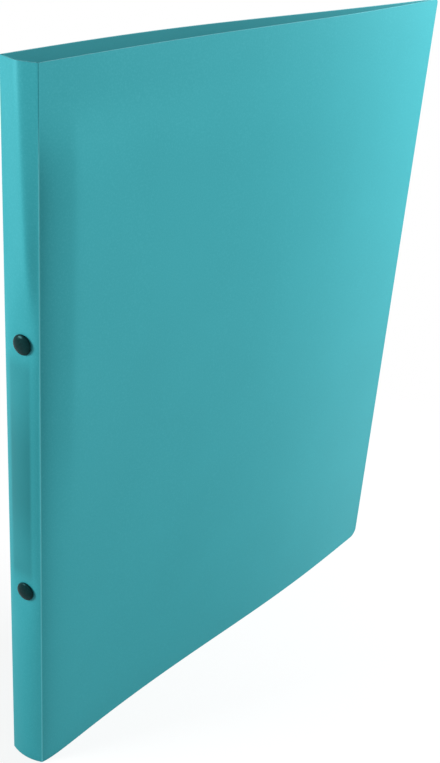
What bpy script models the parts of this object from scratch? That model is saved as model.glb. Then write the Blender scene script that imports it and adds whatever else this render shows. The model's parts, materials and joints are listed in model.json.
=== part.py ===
"""Two-ring binder: a creased plastic sheet with a snap ring mechanism riveted to its spine.

The closed binder stands upright. +X runs from the spine to the fore-edge, +Y from the front cover to the
back cover and +Z up. Sections are drawn in plan with the front crease at (0, 0). One empty carries
everything and puts the middle of the base at the origin.
"""

from math import asin, atan2, cos, exp, pi, radians, sin, sqrt, tan

import bmesh
import bpy
from mathutils import Matrix, Vector

MM = 0.001

# Sheet: covers and spine of one die-cut sheet
HEIGHT = 320 * MM
COVER_WIDTH = 257 * MM  # crease to fore-edge
SHEET = 0.7 * MM
UPPER_CORNER = 2 * MM  # radius at the fore-edge
LOWER_CORNER = 5 * MM
SPINE_CHORD = 17.2 * MM  # crease to crease
SPINE_BULGE = 1.8 * MM  # rise of the spine's arc over its chord
SPINE_LEAN = radians(8)  # of the chord, when the binder is closed
FRONT_BOW = -0.5 * MM  # cover's half wave, towards +Y
FRONT_WAVE = 1.6 * MM  # cover's full wave
FRONT_CURL = 0.9 * MM  # by which the cover turns in at its crease
BACK_BOW = 4.6 * MM
BACK_WAVE = 1.7 * MM
BACK_CURL = 0 * MM  # its crease stays sharp
CURL_REACH = 2 * MM  # over which a curl falls to about a third
FORE_EDGE_GAP = 0.35 * MM  # between the closed covers

# Creases: a thin web between the tapered edges of two panels
CREASE = 0.75 * MM  # crease line to panel edge
CREASE_TAPER = 0.5 * MM
WEB = 0.3 * MM
WEB_GAP = 0.15 * MM

# Place of the mechanism on the spine
MECHANISM_DROP = 4 * MM  # below mid-height
MECHANISM_OFFSET = -1.2 * MM  # towards the front cover
SEAT_GAP = 0.3 * MM

# Housing: an arched channel with turned-under lips
HOUSING_LENGTH = 130 * MM
HOUSING_MARGIN = 0.1 * MM  # past the middle of the ring's wire, each side
HOUSING_HEIGHT = 3.8 * MM
HOUSING_SHEET = 0.6 * MM
HOUSING_CORNER = 3 * MM  # in plan, at its ends
LIP = 1.4 * MM  # wall to lip edge
LIP_BEND = 0.8 * MM  # outer radius

# Hinge plates: two alike, turned end for end
PLATE_LENGTH = 100 * MM
PLATE_SHEET = 0.7 * MM
PLATE_PLAY = 0.4 * MM  # plate edge to housing wall
PLATE_LIFT = 0.3 * MM  # plate edge to lip
PLATE_SPLIT = 0.3 * MM  # between the plates
TONGUE_LENGTH = 8 * MM
TONGUE_REACH = 1 * MM
TONGUE_PLACE = 18 * MM  # from mid-length
TONGUE_CLEAR = 0.5 * MM

# Rings
RING_SPACING = 80 * MM
RING_ROOM = 1.8 * MM  # ring to crease line, each side, so that it can open in the closed binder
WIRE = 1.8 * MM
LEG_ANGLE = radians(38)  # below the centre, where a leg leaves the circle
STAKE_CLEAR = 0.15 * MM
SLOT_CLEAR = 0.4 * MM
TIP_GAP = 0.3 * MM
NIB = 0.9 * MM  # diameter of the peg on one tip
NIB_POINT = 0.5 * MM
NIB_REACH = 1 * MM
NIB_CLEAR = 0.15 * MM
RING_SWING = radians(13.5)  # of each half, closed to open

# Rivets
RIVET_SPACING = 117 * MM
RIVET_HEAD = 9 * MM
RIVET_DOME = 1.6 * MM
RIVET_RIM = 0.35 * MM
RIVET_SHANK = 4 * MM
RIVET_BORE = 2.6 * MM
RIVET_FLARE = 5.6 * MM
RIVET_LIP = 0.5 * MM  # thickness of the flared end
RIVET_CLEAR = 0.3 * MM  # round the shank
RIVET_SEAT = 0.15 * MM

COVER_STEPS = 36
CREASE_CROWDING = 1.6  # of a cover's steps, which are shortest at its crease
ARC_STEPS = 8
ROUND_STEPS = 32

FRONT, REAR = -1, 1
UPPER, LOWER = 1, -1


# Worked-out sizes

SPINE_RADIUS = (SPINE_CHORD**2 / 4 + SPINE_BULGE**2) / (2 * SPINE_BULGE)
SPINE_SPAN = asin(SPINE_CHORD / 2 / SPINE_RADIUS)  # half the arc's angle
SPINE_CENTRE = Vector((SPINE_RADIUS - SPINE_BULGE, 0))  # in the spine's own frame

FRONT_CREASE = Vector((0, 0))
REAR_CREASE = SPINE_CHORD * Vector((-sin(SPINE_LEAN), cos(SPINE_LEAN)))
FRONT_EDGE = Vector((COVER_WIDTH, 0))
BACK_EDGE_Y = 2 * SHEET + FORE_EDGE_GAP
BACK_REACH = sqrt(COVER_WIDTH**2 - (REAR_CREASE.y - BACK_EDGE_Y) ** 2)
BACK_EDGE = Vector((REAR_CREASE.x + BACK_REACH, BACK_EDGE_Y))

RING_BORE = SPINE_CHORD - 2 * (RING_ROOM + WIRE)  # inside diameter
RING_RADIUS = (RING_BORE + WIRE) / 2
RING_RISE = HOUSING_HEIGHT + RING_BORE / 4  # centre over the housing's base
HOUSING_WIDTH = 2 * (RING_RADIUS + HOUSING_MARGIN)

WIDEST_LIP = HOUSING_WIDTH / 2 + abs(MECHANISM_OFFSET)
MECHANISM_BASE = SPINE_CENTRE.x - sqrt((SPINE_RADIUS - SHEET) ** 2 - WIDEST_LIP**2) + SEAT_GAP
MECHANISM_Z = HEIGHT / 2 - MECHANISM_DROP

PIVOT_X = HOUSING_SHEET + PLATE_LIFT + PLATE_SHEET / 2  # over the housing's base
PIVOT_Y = HOUSING_WIDTH / 2 - HOUSING_SHEET - PLATE_PLAY
PLATE_WIDTH = PIVOT_Y - PLATE_SPLIT / 2
PLATE_TILT = RING_SWING / 2


def clear_scene():
    for obj in list(bpy.data.objects):
        bpy.data.objects.remove(obj, do_unlink=True)


def new_collection(name):
    collection = bpy.data.collections.new(name)
    bpy.context.scene.collection.children.link(collection)
    return collection


def new_material(name, colour, roughness, metallic=0.0):
    material = bpy.data.materials.new(name)
    material.use_nodes = True
    shader = material.node_tree.nodes["Principled BSDF"]
    shader.inputs["Base Color"].default_value = (*colour, 1)
    shader.inputs["Roughness"].default_value = roughness
    shader.inputs["Metallic"].default_value = metallic
    return material


def new_empty(name, parent=None, location=(0, 0, 0), turn=0.0):
    empty = bpy.data.objects.new(name, None)
    PARTS.objects.link(empty)
    empty.parent = parent
    empty.location = location
    empty.rotation_euler.z = turn
    return empty


def finish(obj, parent, location, material):
    """Place a part, give it its material and shade its round faces smooth."""
    obj.parent = parent
    obj.location = location
    obj.data.materials.append(material)
    obj.data.shade_smooth()
    obj.data.set_sharp_from_angle(angle=radians(35))
    return obj


def as_cutter(obj, parent, location):
    """Place a cutting shape, out of sight."""
    PARTS.objects.unlink(obj)
    CUTTERS.objects.link(obj)
    obj.parent = parent
    obj.location = location
    obj.hide_render = True
    obj.display_type = "WIRE"
    return obj


def cut(part, cutter, operation="DIFFERENCE"):
    modifier = part.modifiers.new(cutter.name, "BOOLEAN")
    modifier.operation = operation
    modifier.object = cutter


def mesh_object(name, curve):
    """A closed mesh object of a filled curve, which is removed."""
    drawn = bpy.data.objects.new(name + "_curve", curve)
    PARTS.objects.link(drawn)
    graph = bpy.context.evaluated_depsgraph_get()
    mesh = bpy.data.meshes.new_from_object(drawn.evaluated_get(graph))
    mesh.name = name
    bpy.data.objects.remove(drawn, do_unlink=True)
    welded = bmesh.new()
    welded.from_mesh(mesh)
    bmesh.ops.remove_doubles(welded, verts=welded.verts, dist=1e-7)
    bmesh.ops.recalc_face_normals(welded, faces=welded.faces)
    welded.to_mesh(mesh)
    welded.free()
    obj = bpy.data.objects.new(name, mesh)
    PARTS.objects.link(obj)
    return obj


def new_curve(name, points, dimensions, closed):
    curve = bpy.data.curves.new(name, "CURVE")
    curve.dimensions = dimensions
    spline = curve.splines.new("POLY")
    spline.points.add(len(points) - 1)
    for place, point in zip(spline.points, points):
        place.co = (*point.to_3d(), 1)
    spline.use_cyclic_u = closed
    return curve


def prism(name, outline, length):
    """An outline in the object's XY plane, extruded both ways along its Z."""
    curve = new_curve(name, outline, "2D", closed=True)
    curve.fill_mode = "BOTH"
    curve.extrude = length / 2
    return mesh_object(name, curve)


def wire(name, path):
    curve = new_curve(name, path, "3D", closed=False)
    curve.bevel_depth = WIRE / 2
    curve.bevel_resolution = 4
    curve.use_fill_caps = True
    return mesh_object(name, curve)


def rod(name, start, end, radius, end_radius=None):
    """A round bar or cone between two points."""
    mesh = bpy.data.meshes.new(name)
    shape = bmesh.new()
    turn = (end - start).to_track_quat("Z", "Y").to_matrix().to_4x4()
    bmesh.ops.create_cone(
        shape,
        cap_ends=True,
        segments=ROUND_STEPS,
        radius1=radius,
        radius2=radius if end_radius is None else end_radius,
        depth=(end - start).length,
        matrix=Matrix.Translation((start + end) / 2) @ turn,
    )
    shape.to_mesh(mesh)
    shape.free()
    obj = bpy.data.objects.new(name, mesh)
    PARTS.objects.link(obj)
    return obj


def block(name, low, high):
    mesh = bpy.data.meshes.new(name)
    shape = bmesh.new()
    size = high - low
    bmesh.ops.create_cube(shape, matrix=Matrix.Translation((low + high) / 2) @ Matrix.Diagonal((*size, 1)))
    shape.to_mesh(mesh)
    shape.free()
    obj = bpy.data.objects.new(name, mesh)
    PARTS.objects.link(obj)
    return obj


def arc(centre, radius, start, end, steps=ARC_STEPS):
    """Points on an arc, from one angle to the other."""
    angles = [start + (end - start) * i / steps for i in range(steps + 1)]
    return [centre + radius * Vector((cos(a), sin(a))) for a in angles]


def cover_rise(bow, wave, curl, s):
    """Rise of a cover's outer face over its chord, at a share of the chord, and the rise's rate there."""
    fade = COVER_WIDTH / CURL_REACH
    rise = bow * sin(pi * s) + wave * sin(2 * pi * s) - curl * (1 - exp(-fade * s) - s)
    rate = pi * bow * cos(pi * s) + 2 * pi * wave * cos(2 * pi * s) - curl * (fade * exp(-fade * s) - 1)
    return Vector((0, rise)), Vector((0, rate))


def cover_face(crease, edge, bow, wave, curl, inset, depth):
    """Plan of one face of a closed cover, from an inset at its crease to just past its fore-edge."""
    chord = edge - crease
    first = inset / COVER_WIDTH
    last = 1 + LOWER_CORNER / COVER_WIDTH
    points = []
    for i in range(COVER_STEPS + 1):
        s = first + (last - first) * (i / COVER_STEPS) ** CREASE_CROWDING
        rise, rate = cover_rise(bow, wave, curl, s)
        along = (chord + rate).normalized()
        points.append(chord * s + rise + depth * Vector((-along.y, along.x)))
    return points


def cover_start(crease, edge, bow, wave, curl):
    """Direction from a crease to the edge of its cover's outer face."""
    return cover_face(crease, edge, bow, wave, curl, CREASE, 0)[0].normalized()


def make_cover(name, crease, edge, bow, wave, curl, inward):
    """A curved panel, drawn from its crease line and trimmed to the die-cut outline."""
    outer = cover_face(crease, edge, bow, wave, curl, CREASE, 0)
    inner = cover_face(crease, edge, bow, wave, curl, CREASE + CREASE_TAPER, inward * SHEET)
    cover = prism(name, outer + inner[::-1], 1.1 * HEIGHT)

    reach = edge.x - crease.x
    side = HEIGHT / 2
    lower = Vector((reach - LOWER_CORNER, LOWER_CORNER - side))
    upper = Vector((reach - UPPER_CORNER, side - UPPER_CORNER))
    outline = [Vector((-COVER_WIDTH / 20, side)), Vector((-COVER_WIDTH / 20, -side))]
    outline += arc(lower, LOWER_CORNER, -pi / 2, 0)
    outline += arc(upper, UPPER_CORNER, 0, pi / 2)
    die = prism(name + "_die", outline, COVER_WIDTH)
    die.rotation_euler.x = pi / 2

    place = (*crease, HEIGHT / 2)
    cut(cover, as_cutter(die, BINDER, place), "INTERSECT")
    return finish(cover, BINDER, place, PLASTIC)


def make_spine_panel():
    outer_trim = CREASE / SPINE_RADIUS
    inner_trim = (CREASE + CREASE_TAPER) / SPINE_RADIUS
    outer_end = SPINE_SPAN - outer_trim
    inner_end = SPINE_SPAN - inner_trim
    outline = arc(SPINE_CENTRE, SPINE_RADIUS, pi + outer_end, pi - outer_end, 2 * ARC_STEPS)
    outline += arc(SPINE_CENTRE, SPINE_RADIUS - SHEET, pi - inner_end, pi + inner_end, 2 * ARC_STEPS)
    return finish(prism("spine_panel", outline, HEIGHT), SPINE, (0, 0, HEIGHT / 2), PLASTIC)


def make_living_hinge(name, crease, to_cover, to_spine):
    """The web of a crease: a bent strip whose outer face is tangent to both panels."""
    run = CREASE - WEB_GAP
    half_angle = to_cover.angle(to_spine) / 2
    radius = run * tan(half_angle)
    centre = (to_cover + to_spine).normalized() * run / cos(half_angle)
    first = run * to_cover - centre
    last = run * to_spine - centre
    start = atan2(first.y, first.x)
    end = start + atan2(first.cross(last), first.dot(last))
    outline = arc(centre, radius, start, end) + arc(centre, radius - WEB, end, start)
    return finish(prism(name, outline, HEIGHT), BINDER, (*crease, HEIGHT / 2), PLASTIC)


def make_rivet(name, level):
    """A tubular rivet: a domed head outside the spine and a flared end on the housing's crown."""
    head_x = -SPINE_BULGE - RIVET_SEAT
    grip = MECHANISM_BASE + HOUSING_HEIGHT + RIVET_SEAT - head_x
    end = -grip - RIVET_LIP
    dome = RIVET_DOME - RIVET_RIM
    angles = [pi / 2 * i / ARC_STEPS for i in range(ARC_STEPS + 1)]
    profile = [(RIVET_HEAD / 2 * sin(a), RIVET_RIM + dome * cos(a)) for a in angles]
    profile += [(RIVET_HEAD / 2, 0), (RIVET_SHANK / 2, 0), (RIVET_SHANK / 2, -grip), (RIVET_FLARE / 2, -grip)]
    profile += [(RIVET_FLARE / 2, end), (RIVET_BORE / 2 + RIVET_LIP, end), (RIVET_BORE / 2, end + RIVET_LIP)]
    profile += [(RIVET_BORE / 2, -RIVET_RIM), (0, -RIVET_RIM)]

    mesh = bpy.data.meshes.new(name)
    mesh.from_pydata([(r, 0, z) for r, z in profile], [(i, i + 1) for i in range(len(profile) - 1)], [])
    rivet = bpy.data.objects.new(name, mesh)
    PARTS.objects.link(rivet)
    turned = rivet.modifiers.new("turned", "SCREW")
    turned.steps = turned.render_steps = ROUND_STEPS
    turned.use_merge_vertices = True
    turned.merge_threshold = 1e-6
    rivet.rotation_euler.y = -pi / 2
    place = (head_x, MECHANISM_OFFSET, MECHANISM_Z + level * RIVET_SPACING / 2)
    return finish(rivet, SPINE, place, BLACK)


def make_housing():
    """The arched channel: a bent strip with lips, rounded in plan at its ends."""
    shoulder = HOUSING_HEIGHT - LIP_BEND
    flat = HOUSING_WIDTH / 2 - shoulder
    half = [Vector((0, HOUSING_WIDTH / 2 - LIP))]
    half += arc(Vector((LIP_BEND, HOUSING_WIDTH / 2 - LIP_BEND)), LIP_BEND, pi, pi / 2)
    half += arc(Vector((LIP_BEND, flat)), shoulder, pi / 2, 0)[1:]
    other = [Vector((p.x, -p.y)) for p in half]
    ribbon = new_curve("mechanism_housing", half + other[::-1], "2D", closed=False)
    ribbon.fill_mode = "NONE"
    ribbon.extrude = HOUSING_LENGTH
    housing = mesh_object("mechanism_housing", ribbon)
    bent = housing.modifiers.new("sheet", "SOLIDIFY")
    bent.thickness = HOUSING_SHEET
    bent.offset = -1
    bent.use_even_offset = True

    side = HOUSING_WIDTH / 2 + SEAT_GAP
    end = HOUSING_LENGTH / 2
    plan = []
    for y, z, start in ((1, 1, 0), (-1, 1, pi / 2), (-1, -1, pi), (1, -1, 3 * pi / 2)):
        corner = Vector((y * (side - HOUSING_CORNER), z * (end - HOUSING_CORNER)))
        plan += arc(corner, HOUSING_CORNER, start, start + pi / 2)
    blank = prism("mechanism_housing_blank", plan, 4 * HOUSING_HEIGHT)
    blank.rotation_euler = (pi / 2, 0, pi / 2)
    cut(housing, as_cutter(blank, MECHANISM, (0, 0, 0)), "INTERSECT")

    slot_floor = PIVOT_X - PLATE_SHEET / 2
    slot_inner = RING_RADIUS * cos(LEG_ANGLE) - WIRE / 2 - SLOT_CLEAR
    slot_half = WIRE / 2 + SLOT_CLEAR
    for level in (UPPER, LOWER):
        for side in (FRONT, REAR):
            y_span = sorted((side * slot_inner, side * HOUSING_WIDTH))
            low = Vector((slot_floor, y_span[0], -slot_half))
            high = Vector((2 * HOUSING_HEIGHT, y_span[1], slot_half))
            slot = block("ring_slot", low, high)
            cut(housing, as_cutter(slot, MECHANISM, (0, 0, level * RING_SPACING / 2)))
    return finish(housing, MECHANISM, (0, 0, 0), STEEL)


def drill_rivet_holes(*parts):
    for level in (UPPER, LOWER):
        ends = [Vector((x, 0, 0)) for x in (-3 * HOUSING_HEIGHT, 3 * HOUSING_HEIGHT)]
        drill = rod("rivet_hole", *ends, RIVET_SHANK / 2 + RIVET_CLEAR)
        as_cutter(drill, MECHANISM, (0, 0, level * RIVET_SPACING / 2))
        for part in parts:
            cut(part, drill)


def leg_points(side):
    """Where a half ring's leg leaves the circle and where it ends in its plate, from the plate's pivot."""
    slope = tan(PLATE_TILT)
    down = Vector((-cos(LEG_ANGLE), -sin(LEG_ANGLE)))
    start = Vector((RING_RISE - PIVOT_X, -PIVOT_Y)) + RING_RADIUS * Vector((down.y, -down.x))
    to_plate = (start.x - start.y * slope) / (cos(LEG_ANGLE) - sin(LEG_ANGLE) * slope)
    end = start + down * (to_plate + PLATE_SHEET / 2 / cos(LEG_ANGLE))
    return [Vector((p.x, side * p.y)) for p in (start, end)]


def make_half_ring(name, pivot, side, level):
    """Half a ring of round wire, from the peg or socket at its tip round to the leg staked in its plate."""
    tip = pi / 2 - TIP_GAP / 2 / RING_RADIUS
    steps = 3 * ARC_STEPS
    angles = [tip - (tip + LEG_ANGLE) * i / steps for i in range(steps + 1)]
    centre = Vector((RING_RISE - PIVOT_X, -PIVOT_Y))
    path = [centre + RING_RADIUS * Vector((sin(a), cos(a))) for a in angles]
    path = [Vector((p.x, side * p.y)) for p in path] + leg_points(side)[1:]
    place = (0, 0, level * RING_SPACING / 2)
    half = wire(name, path)

    top = Vector((RING_RISE - PIVOT_X + RING_RADIUS, -side * PIVOT_Y, 0))
    root = top + Vector((0, NIB_REACH, 0))
    point = top - Vector((0, NIB_REACH, 0))
    if side == REAR:
        peg = rod("ring_peg", root, point, NIB / 2, NIB_POINT / 2)
        cut(half, as_cutter(peg, pivot, place), "UNION")
    else:
        point -= Vector((0, 2 * NIB_CLEAR, 0))
        root -= Vector((0, 2 * NIB_CLEAR, 0))
        socket = rod("ring_socket", root, point, NIB / 2 + NIB_CLEAR, NIB_POINT / 2 + NIB_CLEAR)
        cut(half, as_cutter(socket, pivot, place))
    return finish(half, pivot, place, STEEL)


def make_hinge_plate(name, pivot, side):
    """A stamped plate with a tongue and a notch on its inner edge, tilted to the closed position."""
    end = PLATE_LENGTH / 2
    tongue = -side * TONGUE_PLACE
    half_tongue = TONGUE_LENGTH / 2
    half_notch = half_tongue + TONGUE_CLEAR
    inner = PLATE_WIDTH
    tongue_edge = inner + TONGUE_REACH
    notch_edge = inner - (TONGUE_REACH + TONGUE_CLEAR - PLATE_SPLIT)
    outline = [Vector((0, end)), Vector((0, -end)), Vector((inner, -end))]
    for place in (-TONGUE_PLACE, TONGUE_PLACE):
        half, edge = (half_tongue, tongue_edge) if place == tongue else (half_notch, notch_edge)
        outline += [Vector((inner, place - half)), Vector((edge, place - half))]
        outline += [Vector((edge, place + half)), Vector((inner, place + half))]
    outline += [Vector((inner, end))]
    plate = prism(name, outline, PLATE_SHEET)
    plate.rotation_euler = (pi / 2, 0, -side * (pi / 2 + PLATE_TILT))

    start, stop = leg_points(side)
    for level in (UPPER, LOWER):
        hole = rod("stake_hole", start.to_3d(), (2 * stop - start).to_3d(), WIRE / 2 + STAKE_CLEAR)
        cut(plate, as_cutter(hole, pivot, (0, 0, level * RING_SPACING / 2)))
    return finish(plate, pivot, (0, 0, 0), STEEL)


def make_ring_set(word, side):
    """One hinge plate and the two half rings that turn with it."""
    pivot = new_empty(word + "_ring_pivot", MECHANISM, (PIVOT_X, side * PIVOT_Y, 0))
    make_hinge_plate(word + "_hinge_plate", pivot, side)
    make_half_ring("upper_" + word + "_half_ring", pivot, side, UPPER)
    make_half_ring("lower_" + word + "_half_ring", pivot, side, LOWER)


def centre_on_base(frame):
    """Move the whole object so that the middle of its plan is at the origin."""
    graph = bpy.context.evaluated_depsgraph_get()
    shapes = [obj.evaluated_get(graph) for obj in PARTS.objects if obj.type == "MESH"]
    points = [shape.matrix_world @ v.co for shape in shapes for v in shape.data.vertices]
    for axis in (0, 1):
        values = [p[axis] for p in points]
        frame.location[axis] -= (min(values) + max(values)) / 2


clear_scene()
PARTS = new_collection("two_ring_binder")
CUTTERS = new_collection("cutters")
PLASTIC = new_material("teal_polypropylene", (0.045, 0.36, 0.41), 0.45)
BLACK = new_material("black_enamel", (0.012, 0.014, 0.015), 0.3)
STEEL = new_material("nickel_plated_steel", (0.72, 0.71, 0.68), 0.2, metallic=1.0)

BINDER = new_empty("binder_frame")
SPINE = new_empty("spine_frame", BINDER, (*(REAR_CREASE / 2), 0), SPINE_LEAN)
MECHANISM = new_empty("mechanism_frame", SPINE, (MECHANISM_BASE, MECHANISM_OFFSET, MECHANISM_Z))

front_shape = (FRONT_CREASE, FRONT_EDGE, FRONT_BOW, FRONT_WAVE, FRONT_CURL)
back_shape = (REAR_CREASE, BACK_EDGE, BACK_BOW, BACK_WAVE, BACK_CURL)
make_cover("front_cover", *front_shape, inward=1)
make_cover("back_cover", *back_shape, inward=-1)
spine_panel = make_spine_panel()

lean = Matrix.Rotation(SPINE_LEAN, 2)
from_front = lean @ Vector((-sin(SPINE_SPAN), cos(SPINE_SPAN)))
from_rear = lean @ Vector((-sin(SPINE_SPAN), -cos(SPINE_SPAN)))
make_living_hinge("front_living_hinge", FRONT_CREASE, cover_start(*front_shape), from_front)
make_living_hinge("rear_living_hinge", REAR_CREASE, cover_start(*back_shape), from_rear)

housing = make_housing()
drill_rivet_holes(spine_panel, housing)
make_rivet("upper_rivet", UPPER)
make_rivet("lower_rivet", LOWER)
make_ring_set("front", FRONT)
make_ring_set("rear", REAR)
centre_on_base(BINDER)
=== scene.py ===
"""Looks of the two-ring binder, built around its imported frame: sheet, creases, rivets and finishes."""

import json
from math import asin, atan2, cos, exp, log, pi, radians, sin, sqrt, tan

import bmesh
import bpy
from mathutils import Matrix, Vector


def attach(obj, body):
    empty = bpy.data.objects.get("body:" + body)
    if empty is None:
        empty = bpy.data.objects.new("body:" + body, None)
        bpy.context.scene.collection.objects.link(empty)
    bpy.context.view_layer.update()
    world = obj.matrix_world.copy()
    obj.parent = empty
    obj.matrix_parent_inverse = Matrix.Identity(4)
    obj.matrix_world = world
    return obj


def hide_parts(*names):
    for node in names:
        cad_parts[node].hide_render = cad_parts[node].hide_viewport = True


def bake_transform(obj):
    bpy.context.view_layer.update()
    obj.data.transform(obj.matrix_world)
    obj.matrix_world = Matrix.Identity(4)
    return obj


MM = 0.001

# Sizes of the sheet, as in the CAD source
HEIGHT = 320 * MM
COVER_WIDTH = 257 * MM
SHEET = 0.7 * MM
UPPER_CORNER = 2 * MM
LOWER_CORNER = 5 * MM
SPINE_CHORD = 17.2 * MM
SPINE_BULGE = 1.8 * MM
SPINE_LEAN = radians(8)
FRONT_BOW = -0.5 * MM
FRONT_WAVE = 1.6 * MM
FRONT_CURL = 0.9 * MM
BACK_BOW = 4.6 * MM
BACK_WAVE = 1.7 * MM
BACK_CURL = 0 * MM
FORE_EDGE_GAP = 0.35 * MM
CREASE = 0.75 * MM
CREASE_TAPER = 0.5 * MM
WEB = 0.3 * MM

# Sizes of the mechanism that the sheet and rivets answer to, as in the CAD source
MECHANISM_Z = HEIGHT / 2 - 4 * MM
MECHANISM_OFFSET = -1.2 * MM
SEAT_GAP = 0.3 * MM
HOUSING_WIDTH = 12 * MM
HOUSING_HEIGHT = 3.8 * MM
RIVET_SPACING = 117 * MM
RIVET_HEAD = 9 * MM
RIVET_DOME = 1.6 * MM
RIVET_RIM = 0.35 * MM
RIVET_SHANK = 4 * MM
RIVET_BORE = 2.6 * MM
RIVET_FLARE = 5.6 * MM
RIVET_LIP = 0.5 * MM
RIVET_SEAT = 0.15 * MM

# Worked-out sizes, as in the CAD source
SPINE_RADIUS = (SPINE_CHORD**2 / 4 + SPINE_BULGE**2) / (2 * SPINE_BULGE)
SPINE_SPAN = asin(SPINE_CHORD / 2 / SPINE_RADIUS)
SPINE_CENTRE = Vector((SPINE_RADIUS - SPINE_BULGE, 0))
FRONT_CREASE = Vector((0, 0))
REAR_CREASE = SPINE_CHORD * Vector((-sin(SPINE_LEAN), cos(SPINE_LEAN)))
FRONT_EDGE = Vector((COVER_WIDTH, 0))
BACK_EDGE_Y = 2 * SHEET + FORE_EDGE_GAP
BACK_REACH = sqrt(COVER_WIDTH**2 - (REAR_CREASE.y - BACK_EDGE_Y) ** 2)
BACK_EDGE = Vector((REAR_CREASE.x + BACK_REACH, BACK_EDGE_Y))
WIDEST_LIP = HOUSING_WIDTH / 2 + abs(MECHANISM_OFFSET)
MECHANISM_BASE = SPINE_CENTRE.x - sqrt((SPINE_RADIUS - SHEET) ** 2 - WIDEST_LIP**2) + SEAT_GAP
RIVET_HEIGHTS = [MECHANISM_Z + level * RIVET_SPACING / 2 for level in (-1, 1)]
RIVET_GRIP = MECHANISM_BASE + HOUSING_HEIGHT + SPINE_BULGE + 2 * RIVET_SEAT

# Camera, fitted to the photograph's creases, edges and rivets, with its place from the front crease's foot
PHOTO_HEIGHT = 763
SENSOR = 36
FOCAL = 1119.592  # in the photograph's pixels
CAMERA_PLACE = Vector((-249.808, -284.125, 405.662)) * MM
CAMERA_AZIMUTH = radians(38.314)
CAMERA_DROP = radians(28.092)
CAMERA_ROLL = radians(-4.596)
CAMERA_NEAR = 10 * MM

# Small measures of the drawn shapes
PROBE = 0.01 * MM  # step over which a slope is measured
SKIN = 0.02 * MM  # by which the fine faces lie inside the CAD's
WELD = 0.001 * MM  # within which points are one
ROUND_SEGMENTS = 2
SHARP_ANGLE = 40  # degrees between faces from which an edge is sharp


def link(obj):
    """Add an object to the scene."""
    bpy.context.scene.collection.objects.link(obj)
    return obj


def mesh_object(name, shape):
    """An object of a bmesh, with its faces turned out."""
    bmesh.ops.recalc_face_normals(shape, faces=shape.faces)
    mesh = bpy.data.meshes.new(name)
    shape.to_mesh(mesh)
    shape.free()
    return link(bpy.data.objects.new(name, mesh))


def soften(obj, width, angle=None):
    """Round an object's edges a little: those over an angle, or else those marked as its cut rim."""
    bevel = obj.modifiers.new("edge", "BEVEL")
    bevel.width = width
    bevel.segments = ROUND_SEGMENTS
    bevel.limit_method = "ANGLE" if angle else "WEIGHT"
    bevel.angle_limit = radians(angle or 0)
    bevel.harden_normals = True


def sheet_solid(name, outer, inner, fore_edge=False):
    """A closed sheet between two grids of points, each a list of equally long columns.

    Its top, its foot and any fore-edge are marked as its cut rim, and its inner faces as inside.
    Its other ends meet a neighbour and stay sharp.
    """
    shape = bmesh.new()
    rim = shape.edges.layers.float.new("bevel_weight_edge")
    inside = shape.faces.layers.float.new("inside")
    grids = [[[shape.verts.new(p) for p in column] for column in side] for side in (outer, inner)]
    columns = len(outer)
    rows = len(outer[0])
    for side, grid in enumerate(grids):
        for i in range(columns - 1):
            for j in range(rows - 1):
                face = shape.faces.new((grid[i][j], grid[i + 1][j], grid[i + 1][j + 1], grid[i][j + 1]))
                face[inside] = side
    front, back = grids
    for i in range(columns - 1):
        for j in (0, rows - 1):
            shape.faces.new((front[i][j], front[i + 1][j], back[i + 1][j], back[i][j]))
    for j in range(rows - 1):
        for i in (0, columns - 1):
            shape.faces.new((front[i][j], front[i][j + 1], back[i][j + 1], back[i][j]))
    for grid in grids:
        for i in range(columns - 1):
            for j in (0, rows - 1):
                shape.edges.get((grid[i][j], grid[i + 1][j]))[rim] = 1
        for j in range(rows - 1):
            for i in (0, columns - 1):
                edge = shape.edges.get((grid[i][j], grid[i][j + 1]))
                cut = fore_edge and i > 0
                edge[rim] = 1 if cut else 0
                edge.smooth = cut
    for face in shape.faces:
        face.smooth = True
    return mesh_object(name, shape)


def arc(centre, radius, start, end, steps):
    """Points along an arc in plan."""
    angles = [start + (end - start) * i / steps for i in range(steps + 1)]
    return [centre + radius * Vector((cos(a), sin(a))) for a in angles]


def eased(value, start, end):
    """0 before start, 1 after end and a smooth rise between them."""
    t = min(1, max(0, (value - start) / (end - start)))
    return t * t * (3 - 2 * t)


def lesser(a, b, round_off):
    """The smaller of two numbers, with the corner between them rounded off."""
    return min(a, b) - round_off * log(1 + exp(-abs(a - b) / round_off))


# Covers

COVER_STEPS = 84
CREASE_CROWDING = 1.6  # power by which the columns crowd towards the crease
CORNER_STEPS = 10
COVER_ROWS = 80
EDGE_ROUND = 0.14 * MM

# Curl of the front cover at its crease: it reaches farther than in the CAD, and a swell makes up for that
CURL_REACH = 5 * MM
CURL_SWELL = 0.35 * MM
SWELL_REACH = 12 * MM
CURL_END = (270 * MM, 304 * MM)  # heights between which both die away

# Relief of the front cover: it stands out beside the crease, over the mechanism
RELIEF = 1.4 * MM
RELIEF_RAMP = 16 * MM  # from the crease, over which it rises
RELIEF_ROUND = 0.8 * MM
RELIEF_REACH = 55 * MM  # over which it then falls to about a third
RELIEF_END = (60 * MM, 135 * MM)  # from the crease, where it dies away
RELIEF_FOOT = (105 * MM, 215 * MM)  # heights between which it sets in
RELIEF_HEAD = (282 * MM, 309 * MM)  # heights between which it ends


def relief(u, z):
    """How far the front cover stands out at a distance from its crease and a height."""
    ramp = lesser(u, RELIEF_RAMP, RELIEF_ROUND) / RELIEF_RAMP
    fall = exp(-max(0, u - RELIEF_RAMP) / RELIEF_REACH) * (1 - eased(u, *RELIEF_END))
    return RELIEF * ramp * fall * eased(z, *RELIEF_FOOT) * (1 - eased(z, *RELIEF_HEAD))


def flat(u, z):
    """The back cover has no relief."""
    return 0


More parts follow.
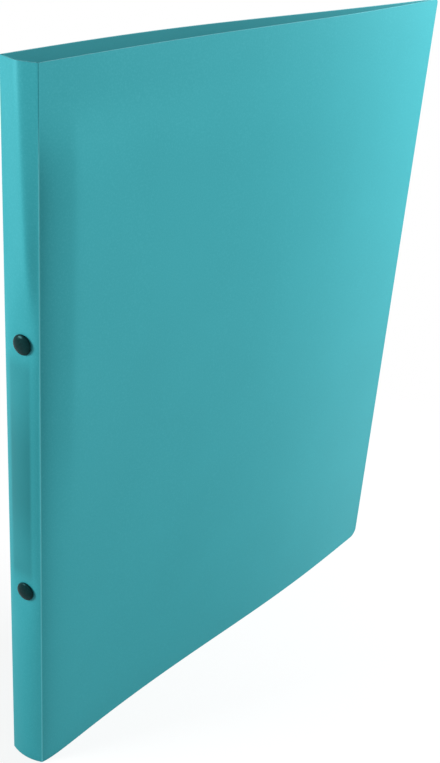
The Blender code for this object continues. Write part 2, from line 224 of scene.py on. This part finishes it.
def cover_rise(bow, wave, curl, s, z):
    """How far a closed cover lies behind its chord, at a share of its width and a height."""
    u = s * COVER_WIDTH
    curled = curl * (1 - s) * (1 - exp(-u / CURL_REACH))
    swell = CURL_SWELL * curl / FRONT_CURL * u / SWELL_REACH * exp(1 - u / SWELL_REACH)
    return bow * sin(pi * s) + wave * sin(2 * pi * s) - (curled + swell) * (1 - eased(z, *CURL_END))


def cover_place(crease, edge, bow, wave, curl, stand, u, depth, z):
    """A point of a closed cover, at a distance from its crease, a depth in the sheet and a height."""
    s = u / COVER_WIDTH
    chord = edge - crease
    ahead, behind = (cover_rise(bow, wave, curl, s + way * PROBE / COVER_WIDTH, z) for way in (1, -1))
    along = (chord / COVER_WIDTH + Vector((0, (ahead - behind) / (2 * PROBE)))).normalized()
    plan = crease + chord * s + Vector((0, cover_rise(bow, wave, curl, s, z) - stand(u, z)))
    return (*(ORIGIN + plan + depth * Vector((-along.y, along.x))), z)


def corner_cut(radius, to_edge):
    """How much a round corner takes off a column at a distance from the fore-edge."""
    past = max(0, radius - to_edge)
    return radius - sqrt(max(0, radius**2 - past**2))


def cover_columns(shape, inset, depth):
    """Columns of points of one face, from near the crease to the fore-edge with its round corners."""
    first = inset / COVER_WIDTH
    corner = 1 - LOWER_CORNER / COVER_WIDTH
    shares = [first + (corner - first) * (i / COVER_STEPS) ** CREASE_CROWDING for i in range(COVER_STEPS)]
    shares += [corner + (1 - corner) * sin(pi / 2 * i / CORNER_STEPS) for i in range(CORNER_STEPS + 1)]
    columns = []
    for s in shares:
        low = corner_cut(LOWER_CORNER, (1 - s) * COVER_WIDTH)
        high = HEIGHT - corner_cut(UPPER_CORNER, (1 - s) * COVER_WIDTH)
        heights = [low + (high - low) * j / COVER_ROWS for j in range(COVER_ROWS + 1)]
        columns.append([cover_place(*shape, s * COVER_WIDTH, depth, z) for z in heights])
    return columns


def make_cover(name, node, shape, inward):
    """A cover, from its end at the crease to the fore-edge."""
    outer = cover_columns(shape, CREASE, inward * SKIN)
    inner = cover_columns(shape, CREASE + CREASE_TAPER, inward * SHEET)
    cover = sheet_solid(name, outer, inner, fore_edge=True)
    soften(cover, EDGE_ROUND)
    cover.data.materials.append(PLASTIC)
    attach(cover, node)
    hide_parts(node)


# Spine

SPINE_STEPS = 56
SPINE_ROW = 4 * MM
SEAT_ROW = 1 * MM

# Seats: each rivet draws the spine in towards the housing and flattens it under its head
SEAT_REACH = 16 * MM  # up and down the spine
SEAT_DRAW = 0.35  # of the spine's bulge
SEAT_SINK = SEAT_DRAW * SPINE_BULGE
SEAT_FLAT = 0.9 * MM  # scale of the flanks' rise that flattens it
SEAT_ROWS_REACH = 1.5 * SEAT_REACH  # from a rivet, where the rows lie closer together

# Elbow: above the mechanism the spine is bent along a line, which climbs from the crease to mid-width
ELBOW = 2.6 * MM  # rise over the chord
ELBOW_ROUND = 0.5 * MM
ELBOW_FOOT = 222 * MM  # height at which it sets in
ELBOW_FADE = 34 * MM  # over which it becomes full
ELBOW_START = -6.5 * MM  # place of its line along the chord, at its foot
ELBOW_END = -0.6 * MM  # the same at the top
ELBOW_CLIMB = 0.7  # power by which its line leaves the crease
ELBOW_HOLD = 8  # power by which it keeps its form towards the creases

# Backing: painted shade where the mechanism shades the sheet from behind, between the rivets
BACKING_MIDDLE = 0.6 * MM
BACKING_HALF = 5.1 * MM
BACKING_BLUR = 0.8 * MM
BACKING_START = (2 * MM, 12 * MM)  # from a rivet, where the shade sets in
BACKING_GROWTH = (18 * MM, 50 * MM)  # where it deepens
BACKING_FIRST = 0.62  # of the deepest shade, near a rivet
BACKING_SPREAD = 0.28  # of its shade, over the spine's whole width


def spine_heights():
    """Row heights, closer together round the rivets."""
    heights = [0]
    while heights[-1] < HEIGHT:
        z = heights[-1]
        near = min(abs(z - r) for r in RIVET_HEIGHTS) < SEAT_ROWS_REACH
        heights.append(min(HEIGHT, z + (SEAT_ROW if near else SPINE_ROW)))
    return heights


def spine_rise(c, z):
    """Rise of the spine's outer face over its chord, at a place along the chord and a height."""
    half = SPINE_CHORD / 2
    share = c / half
    seat = sum(exp(-(((z - r) / SEAT_REACH) ** 2)) for r in RIVET_HEIGHTS)
    rise = (sqrt(SPINE_RADIUS**2 - c**2) - SPINE_CENTRE.x) * (1 - SEAT_DRAW * seat)
    rise += seat * SEAT_FLAT * (share**2 - share**4)
    climb = (z - ELBOW_FOOT) / (HEIGHT - ELBOW_FOOT)
    bend = ELBOW_START + (ELBOW_END - ELBOW_START) * max(0, climb) ** ELBOW_CLIMB
    flanks = ((c + half) / (bend + half), (half - c) / (half - bend))
    elbow = lesser(ELBOW * flanks[0], ELBOW * flanks[1], ELBOW_ROUND)
    mix = eased(z, ELBOW_FOOT, ELBOW_FOOT + ELBOW_FADE) * (1 - share**ELBOW_HOLD)
    return rise + (elbow - rise) * mix


def on_spine(place):
    """The place in plan of a point given from the middle of the spine's chord: out of it and along it."""
    return ORIGIN + REAR_CREASE / 2 + Matrix.Rotation(SPINE_LEAN, 2) @ place


def spine_reach(trim):
    """Half the width along the chord that is left when each edge is trimmed."""
    return SPINE_RADIUS * sin(SPINE_SPAN - trim / SPINE_RADIUS)


def spine_place(c, depth, z):
    """A point of the spine, at a place along the chord, a depth in the sheet and a height."""
    slope = (spine_rise(c + PROBE, z) - spine_rise(c - PROBE, z)) / (2 * PROBE)
    inward = Vector((1, slope)).normalized()
    return (*on_spine(Vector((-spine_rise(c, z), c)) + depth * inward), z)


def spine_columns(trim, depth):
    """Columns of points of one face of the spine."""
    places = [spine_reach(trim) * (2 * i / SPINE_STEPS - 1) for i in range(SPINE_STEPS + 1)]
    return [[spine_place(c, depth, z) for z in spine_heights()] for c in places]


def mark_mechanism_shade(spine):
    """Note on each point how deep the painted shade of the housing behind the sheet is there."""
    to_spine = Matrix.Rotation(-SPINE_LEAN, 2)
    low, high = RIVET_HEIGHTS
    attribute = spine.data.attributes.new("mechanism_shade", "FLOAT", "POINT")
    for vertex, item in zip(spine.data.vertices, attribute.data):
        c = (to_spine @ (vertex.co.to_2d() - on_spine(Vector((0, 0))))).y - BACKING_MIDDLE
        across = 1 - eased(abs(c), BACKING_HALF - BACKING_BLUR, BACKING_HALF + BACKING_BLUR)
        inside = min(vertex.co.z - low, high - vertex.co.z)
        depth = BACKING_FIRST * eased(inside, *BACKING_START)
        depth += (1 - BACKING_FIRST) * eased(inside, *BACKING_GROWTH)
        item.value = (BACKING_SPREAD + (1 - BACKING_SPREAD) * across) * depth


def make_spine():
    """The spine between its two creases."""
    outer = spine_columns(CREASE, SKIN)
    inner = spine_columns(CREASE + CREASE_TAPER, SHEET)
    spine = sheet_solid("spine_sheet", outer, inner)
    mark_mechanism_shade(spine)
    soften(spine, EDGE_ROUND)
    spine.data.materials.append(SPINE_PLASTIC)
    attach(spine, "spine")
    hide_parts("spine_panel")


# Creases

FOLD_STEPS = 10
FOLD_RADIUS = 0.36 * MM
FOLD_EDGE = 0.34 * MM  # where the fold ends, from the crease
FOLD_MARK_EDGE = 0.9 * FOLD_EDGE  # within which its points are whitened, partly as a painted highlight along the fold
FOLD_HIGHLIGHT_FADE = (278 * MM, 308 * MM)  # heights between which the whitening and painted highlight die away, where the fold's edge goes into shade
WEB_ROUND = 0.1 * MM


def web_end(outer, inner):
    """The outer and inner point of a web's end, on the sloped end of a sheet."""
    outer = Vector(outer)
    return outer, outer.lerp(Vector(inner), WEB / SHEET)


def web_row(corner, spine_end, cover_end):
    """Outer and inner points of a web at one height, from the spine round the fold to the cover."""
    to_spine = (spine_end[0] - corner).normalized()
    to_cover = (cover_end[0] - corner).normalized()
    half_angle = to_cover.angle(to_spine) / 2
    run = FOLD_RADIUS / tan(half_angle)
    centre = corner + (to_cover + to_spine).normalized() * FOLD_RADIUS / sin(half_angle)
    first = corner + run * to_spine - centre
    last = corner + run * to_cover - centre
    start = atan2(first.y, first.x)
    turn = atan2(first.cross(last).z, first.dot(last))
    rows = []
    for depth, side in ((0, 0), (WEB, 1)):
        bend = arc(centre.to_2d(), FOLD_RADIUS - depth, start, start + turn, FOLD_STEPS)
        fold = [(*p, corner.z) for p in bend]
        edges = []
        for tangent, end in ((fold[0], spine_end), (fold[-1], cover_end)):
            share = (FOLD_EDGE - run) / ((end[0] - corner).length - run)
            edges.append(tuple(Vector(tangent).lerp(end[side], share)))
        rows.append([tuple(spine_end[side]), edges[0], *fold, edges[1], tuple(cover_end[side])])
    return rows


def mark_fold(web, corner):
    """Note on each point how much the fold is whitened there: stress whitening and a painted highlight."""
    attribute = web.data.attributes.new("fold", "FLOAT", "POINT")
    for vertex, item in zip(web.data.vertices, attribute.data):
        bent = (vertex.co.to_2d() - corner).length < FOLD_MARK_EDGE
        item.value = bent * (1 - eased(vertex.co.z, *FOLD_HIGHLIGHT_FADE))


def make_web(name, node, crease, shape, inward):
    """The web of a crease, which bends between the spine and a cover and meets the ends of both."""
    corner = ORIGIN + crease
    outer = []
    inner = []
    for z in spine_heights():
        spine_end = web_end(
            spine_place(-inward * spine_reach(CREASE), SKIN, z),
            spine_place(-inward * spine_reach(CREASE + CREASE_TAPER), SHEET, z),
        )
        cover_end = web_end(
            cover_place(*shape, CREASE, inward * SKIN, z),
            cover_place(*shape, CREASE + CREASE_TAPER, inward * SHEET, z),
        )
        row = web_row(corner.to_3d() + Vector((0, 0, z)), spine_end, cover_end)
        outer.append(row[0])
        inner.append(row[1])
    web = sheet_solid(name, list(zip(*outer)), list(zip(*inner)))
    mark_fold(web, corner)
    soften(web, WEB_ROUND)
    web.data.materials.append(CREASE_PLASTIC)
    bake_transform(web)
    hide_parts(node)


# Rivets

RIVET_STEPS = 64
DOME_STEPS = 14
RIM_ROUND = 0.16 * MM
HEAD_EASE = 0.25 * MM  # by which the head's radius is smaller than the CAD's
FLARE_ROUND = 0.2 * MM


def make_rivet(name, node, z):
    """A tubular rivet, turned about its axis from the dome's top to the flared end's bore.

    Its head is sunk with the spine, so its grip is shorter than the CAD's by as much.
    """
    dome = RIVET_DOME - RIVET_RIM - SKIN
    head = RIVET_HEAD / 2 - HEAD_EASE
    grip = RIVET_GRIP - SEAT_SINK
    end = -grip - RIVET_LIP
    angles = [pi / 2 * i / DOME_STEPS for i in range(DOME_STEPS + 1)]
    profile = [(head * sin(a), RIVET_RIM + dome * cos(a)) for a in angles]
    profile += [(head, RIM_ROUND), (head - RIM_ROUND, 0), (RIVET_SHANK / 2, 0)]
    profile += [(RIVET_SHANK / 2, -grip), (RIVET_FLARE / 2, -grip)]
    profile += [(RIVET_FLARE / 2, end + FLARE_ROUND), (RIVET_FLARE / 2 - FLARE_ROUND, end)]
    profile += [(RIVET_BORE / 2 + RIVET_LIP, end), (RIVET_BORE / 2, end + RIVET_LIP)]
    profile += [(RIVET_BORE / 2, -RIVET_RIM), (0, -RIVET_RIM)]
    shape = bmesh.new()
    points = [shape.verts.new((r, 0, h)) for r, h in profile]
    edges = [shape.edges.new(pair) for pair in zip(points, points[1:])]
    bmesh.ops.spin(
        shape,
        geom=points + edges,
        cent=(0, 0, 0),
        axis=(0, 0, 1),
        angle=2 * pi,
        steps=RIVET_STEPS,
        use_merge=True,
    )
    bmesh.ops.remove_doubles(shape, verts=shape.verts, dist=WELD)
    rivet = mesh_object(name, shape)
    rivet.data.shade_smooth()
    rivet.data.set_sharp_from_angle(angle=radians(SHARP_ANGLE))
    rivet.data.materials.append(ENAMEL)
    seat = on_spine(Vector((SEAT_SINK - SPINE_BULGE - RIVET_SEAT, MECHANISM_OFFSET)))
    turn = Matrix.Rotation(SPINE_LEAN, 4, "Z") @ Matrix.Rotation(-pi / 2, 4, "Y")
    rivet.data.transform(Matrix.Translation((*seat, z)) @ turn)
    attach(rivet, "spine")
    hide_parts(node)


# Metal of the ring mechanism

METAL_ROUND = 0.07 * MM
FLAT_ANGLE = 0.5  # degrees between faces up to which they are one plane


def finish_metal(node):
    """Round the edges of a CAD node, shade its round faces smooth and give it its plating."""
    normals = node.data.attributes.get("custom_normal")
    if normals:
        node.data.attributes.remove(normals)
    weld = node.modifiers.new("weld", "WELD")
    weld.merge_threshold = WELD
    plain = node.modifiers.new("plain", "DECIMATE")
    plain.decimate_type = "DISSOLVE"
    plain.angle_limit = radians(FLAT_ANGLE)
    node.data.shade_smooth()
    soften(node, METAL_ROUND, angle=SHARP_ANGLE)
    node.data.materials.clear()
    node.data.materials.append(NICKEL)


# Finishes


class Nodes:
    """Short ways to add linked shader nodes to a new material. An input is a socket or a constant."""

    def __init__(self, name):
        self.material = bpy.data.materials.new(name)
        self.material.use_nodes = True
        self.tree = self.material.node_tree
        self.shader = self.tree.nodes["Principled BSDF"]

    def feed(self, socket, value):
        if isinstance(value, bpy.types.NodeSocket):
            self.tree.links.new(value, socket)
        else:
            socket.default_value = value

    def feed_all(self, node, inputs):
        for key, value in inputs.items():
            self.feed(node.inputs[key.replace("_", " ")], value)

    def add(self, kind, settings=(), **inputs):
        node = self.tree.nodes.new("ShaderNode" + kind)
        for key, value in dict(settings).items():
            setattr(node, key, value)
        self.feed_all(node, inputs)
        return node

    def place(self):
        return self.add("TexCoord").outputs["Object"]

    def mark(self, name):
        return self.add("Attribute", {"attribute_name": name}).outputs["Fac"]

    def noise(self, place, scale, detail=2):
        return self.add("TexNoise", Vector=place, Scale=scale, Detail=detail).outputs["Fac"]

    def spread(self, value, low, high, start=0, end=1):
        """The value's range from start to end, spread over that from low to high."""
        node = self.add("MapRange", Value=value, From_Min=start, From_Max=end, To_Min=low, To_Max=high)
        return node.outputs["Result"]

    def maths(self, operation, a, b):
        node = self.add("Math", {"operation": operation})
        self.feed(node.inputs[0], a)
        self.feed(node.inputs[1], b)
        return node.outputs[0]

    def blend(self, factor, a, b):
        node = self.add("Mix", {"data_type": "RGBA"})
        for socket, value in zip((node.inputs[0], node.inputs[6], node.inputs[7]), (factor, a, b)):
            self.feed(socket, value)
        return node.outputs[2]

    def bump(self, height, strength, distance, **inputs):
        node = self.add("Bump", Height=height, Strength=strength, Distance=distance, **inputs)
        return node.outputs["Normal"]

    def finish(self, **inputs):
        """Feed the material's own shader."""
        self.feed_all(self.shader, inputs)
        return self.material


TEAL = (0.042, 0.4, 0.455, 1)
PALE_TEAL = (0.085, 0.52, 0.58, 1)
DEEP_TEAL = (0.034, 0.345, 0.395, 1)
# painted shade: the sheet's inner faces are darkened for the shade between the covers
INNER_SHADE_TEAL = (0.05, 0.345, 0.39, 1)
# painted shade of the housing behind the spine, between the rivets
MECHANISM_SHADE_TEAL = (0.022, 0.222, 0.25, 1)
# stress whitening of the fold, together with a painted highlight along it
STRESS_AND_HIGHLIGHT_TEAL = (0.15, 0.66, 0.72, 1)
MARK_SHARE = 0.85  # of a mark's colour where the mark is full

# the enamel's teal, in its colour and its reflections, is a painted reflection of the teal sheet round the
# rivets
ENAMEL_DARK = (0.003, 0.022, 0.023, 1)
ENAMEL_LIGHT = (0.005, 0.032, 0.033, 1)
ENAMEL_REFLECTION_TEAL = (0.2, 0.85, 0.9, 1)

NICKEL_DARK = (0.5, 0.49, 0.455, 1)
NICKEL_LIGHT = (0.6, 0.59, 0.56, 1)
BRUSHED = (1, 1, 0.06)  # the polishing lines run up and down


def make_plastic(name, *marks):
    """Satin pearly sheet: a fine sand grain, faint clouding and slightly uneven gloss.

    Its inner side is painted deeper in colour, as painted shade between the covers. Where a further mark
    says so, it takes on that mark's colour.
    """
    nodes = Nodes(name)
    place = nodes.place()
    cloud = nodes.noise(place, scale=22, detail=3)
    grain = nodes.noise(place, scale=1500)
    ripple = nodes.noise(place, scale=420)
    colour = nodes.blend(nodes.spread(cloud, 0, 0.3, start=0.3, end=0.7), TEAL, DEEP_TEAL)
    colour = nodes.blend(nodes.spread(grain, 0, 0.25, start=0.45, end=0.75), colour, PALE_TEAL)
    # the inner faces take painted shade, and the further marks paint shade or a highlight
    for mark, tint in (("inside", INNER_SHADE_TEAL), *marks):
        share = nodes.maths("MULTIPLY", nodes.mark(mark), MARK_SHARE)
        colour = nodes.blend(share, colour, tint)
    rippled = nodes.bump(ripple, strength=0.1, distance=0.05 * MM)
    return nodes.finish(
        Base_Color=colour,
        Metallic=0.1,
        Roughness=nodes.spread(grain, 0.36, 0.5),
        IOR=1.49,
        Specular_IOR_Level=0.15,
        Normal=nodes.bump(grain, strength=0.3, distance=0.05 * MM, Normal=rippled),
    )


def make_enamel():
    """Glossy, nearly black enamel with a faint orange peel, tinted teal as a painted reflection of the
    sheet.
    """
    nodes = Nodes("black_enamel")
    peel = nodes.noise(nodes.place(), scale=900)
    return nodes.finish(
        Base_Color=nodes.blend(nodes.spread(peel, 0, 1, start=0.4, end=0.7), ENAMEL_DARK, ENAMEL_LIGHT),
        Roughness=nodes.spread(peel, 0.16, 0.26),
        Specular_IOR_Level=0.12,
        Specular_Tint=ENAMEL_REFLECTION_TEAL,
        Normal=nodes.bump(peel, strength=0.06, distance=0.05 * MM),
    )


def make_nickel():
    """Nickel plating with fine polishing lines and faint clouding."""
    nodes = Nodes("nickel")
    place = nodes.place()
    brushed = nodes.add("Mapping", Vector=place, Scale=BRUSHED).outputs["Vector"]
    lines = nodes.noise(brushed, scale=1800, detail=3)
    cloud = nodes.noise(place, scale=140)
    return nodes.finish(
        Base_Color=nodes.blend(nodes.spread(cloud, 0, 1, start=0.3, end=0.7), NICKEL_DARK, NICKEL_LIGHT),
        Metallic=1,
        Roughness=nodes.spread(lines, 0.14, 0.34),
        Normal=nodes.bump(lines, strength=0.12, distance=0.02 * MM),
    )


# Stage

FLOOR_RADIUS = 6
FLOOR_STEPS = 96
FLOOR_GREY = (0.5, 0.5, 0.5, 1)  # for the light that it gives back
FLOOR_SEEN = (0.95, 0.95, 0.95, 1)  # for the camera
SPINE_FOOT = (-0.13, -0.05, 0)  # round which the floor keeps the object's shadow, and in reflections a darker patch: painted shade for the front cover's lower left
SHADE_START = 0.1  # from there, where it begins to fade to plain white
SHADE_END = 0.45
WHITE_SEEN = 0.8  # share of plain white at the foot, as the camera sees it
WHITE_MIRRORED = 0.2  # the same in reflections, low for a patch of painted shade that the front cover reflects
AMBIENT = 0.31  # strength of the light from all round
LAMP_SIZE = 0.2


def make_floor():
    """A white floor that keeps a soft shadow by the object and fades to plain white away from it. In
    reflections it stays darker round the spine's foot, as painted shade.
    """
    nodes = Nodes("floor")
    distance = nodes.add("VectorMath", {"operation": "DISTANCE"})
    nodes.feed(distance.inputs[0], nodes.place())
    nodes.feed(distance.inputs[1], SPINE_FOOT)
    away = distance.outputs["Value"]
    path = nodes.add("LightPath").outputs
    nodes.finish(
        Base_Color=nodes.blend(path["Is Camera Ray"], FLOOR_GREY, FLOOR_SEEN),
        Roughness=0.9,
        Specular_IOR_Level=0,
    )
    mirrored = nodes.maths("MAXIMUM", path["Is Glossy Ray"], path["Is Transmission Ray"])
    white_seen = nodes.spread(away, WHITE_SEEN, 1, start=SHADE_START, end=SHADE_END)
    white_mirrored = nodes.spread(away, WHITE_MIRRORED, 1, start=SHADE_START, end=SHADE_END)
    shown = nodes.maths("MULTIPLY", path["Is Camera Ray"], white_seen)
    reflected = nodes.maths("MULTIPLY", mirrored, white_mirrored)
    white = nodes.add("Emission")
    mix = nodes.add("MixShader", Fac=nodes.maths("ADD", shown, reflected))
    nodes.feed(mix.inputs[1], nodes.shader.outputs[0])
    nodes.feed(mix.inputs[2], white.outputs[0])
    nodes.feed(nodes.tree.nodes["Material Output"].inputs["Surface"], mix.outputs[0])

    shape = bmesh.new()
    bmesh.ops.create_circle(shape, cap_ends=True, segments=FLOOR_STEPS, radius=FLOOR_RADIUS)
    floor = mesh_object("floor", shape)
    floor.data.materials.append(nodes.material)


def make_world():
    """Even light from all round, behind which the backdrop is plain white."""
    world = bpy.data.worlds.new("studio")
    bpy.context.scene.world = world
    world.use_nodes = True
    tree = world.node_tree
    background = tree.nodes["Background"]
    background.inputs["Color"].default_value = (1, 1, 1, 1)
    path = tree.nodes.new("ShaderNodeLightPath")
    seen = [path.outputs[k] for k in ("Is Camera Ray", "Is Glossy Ray", "Is Transmission Ray")]
    total = seen[0]
    for more in seen[1:]:
        either = tree.nodes.new("ShaderNodeMath")
        either.operation = "MAXIMUM"
        tree.links.new(total, either.inputs[0])
        tree.links.new(more, either.inputs[1])
        total = either.outputs[0]
    level = tree.nodes.new("ShaderNodeMapRange")
    level.inputs["To Min"].default_value = AMBIENT
    level.inputs["To Max"].default_value = 1
    tree.links.new(total, level.inputs["Value"])
    tree.links.new(level.outputs["Result"], background.inputs["Strength"])


def make_lamp(name, place, target, power):
    """A square soft lamp that points at a target."""
    data = bpy.data.lights.new(name, "AREA")
    data.size = LAMP_SIZE
    data.energy = power
    lamp = link(bpy.data.objects.new(name, data))
    lamp.location = place
    lamp.rotation_euler = (Vector(target) - Vector(place)).to_track_quat("-Z", "Y").to_euler()
    lamp.visible_camera = False


def make_camera():
    """The photograph's viewpoint. Its roll turns the picture about the line of sight."""
    level = Vector((cos(CAMERA_AZIMUTH), sin(CAMERA_AZIMUTH), 0))
    forward = level * cos(CAMERA_DROP) - Vector((0, 0, sin(CAMERA_DROP)))
    right = forward.cross(Vector((0, 0, 1))).normalized()
    down = forward.cross(right)
    across = cos(CAMERA_ROLL) * right + sin(CAMERA_ROLL) * down
    data = bpy.data.cameras.new("camera")
    data.sensor_width = SENSOR
    data.lens = FOCAL / PHOTO_HEIGHT * SENSOR
    data.clip_start = CAMERA_NEAR
    camera = link(bpy.data.objects.new("camera", data))
    turn = Matrix((across, across.cross(forward), -forward)).transposed()
    camera.matrix_world = Matrix.Translation(ORIGIN.to_3d() + CAMERA_PLACE) @ turn.to_4x4()
    bpy.context.scene.camera = camera


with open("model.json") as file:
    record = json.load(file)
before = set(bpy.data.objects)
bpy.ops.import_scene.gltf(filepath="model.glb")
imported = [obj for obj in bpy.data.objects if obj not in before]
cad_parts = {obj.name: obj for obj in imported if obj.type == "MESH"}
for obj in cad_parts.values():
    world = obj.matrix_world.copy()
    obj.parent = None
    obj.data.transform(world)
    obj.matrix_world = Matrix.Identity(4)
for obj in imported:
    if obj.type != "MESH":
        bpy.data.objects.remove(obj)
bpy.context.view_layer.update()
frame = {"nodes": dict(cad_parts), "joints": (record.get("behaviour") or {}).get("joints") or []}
joints = {joint["name"]: joint for joint in frame["joints"]}
ORIGIN = Vector(joints["front_cover_hinge"]["pos_m"]).to_2d()  # the front crease, in plan

bpy.context.scene.view_settings.view_transform = "Standard"
make_camera()
make_world()
make_floor()
make_lamp("key", place=(0.55, -0.26, 0.5), target=(0, 0, 0.17), power=6.5)
make_lamp("side", place=(-0.57, 0.28, 0.34), target=(-0.13, 0, 0.2), power=2.7)

PLASTIC = make_plastic("polypropylene_sheet")
SPINE_PLASTIC = make_plastic("polypropylene_spine", ("mechanism_shade", MECHANISM_SHADE_TEAL))
CREASE_PLASTIC = make_plastic("polypropylene_crease", ("fold", STRESS_AND_HIGHLIGHT_TEAL))
ENAMEL = make_enamel()
NICKEL = make_nickel()

front_shape = (FRONT_CREASE, FRONT_EDGE, FRONT_BOW, FRONT_WAVE, FRONT_CURL, relief)
back_shape = (REAR_CREASE, BACK_EDGE, BACK_BOW, BACK_WAVE, BACK_CURL, flat)
make_cover("front_cover_sheet", "front_cover", front_shape, 1)
make_cover("back_cover_sheet", "back_cover", back_shape, -1)
make_spine()
make_web("front_crease", "front_living_hinge", FRONT_CREASE, front_shape, 1)
make_web("rear_crease", "rear_living_hinge", REAR_CREASE, back_shape, -1)
make_rivet("lower_rivet_head", "lower_rivet", RIVET_HEIGHTS[0])
make_rivet("upper_rivet_head", "upper_rivet", RIVET_HEIGHTS[1])

# The ring mechanism keeps its CAD shapes
for name, node in frame["nodes"].items():
    if "ring" in name or "plate" in name or "housing" in name:
        finish_metal(node)
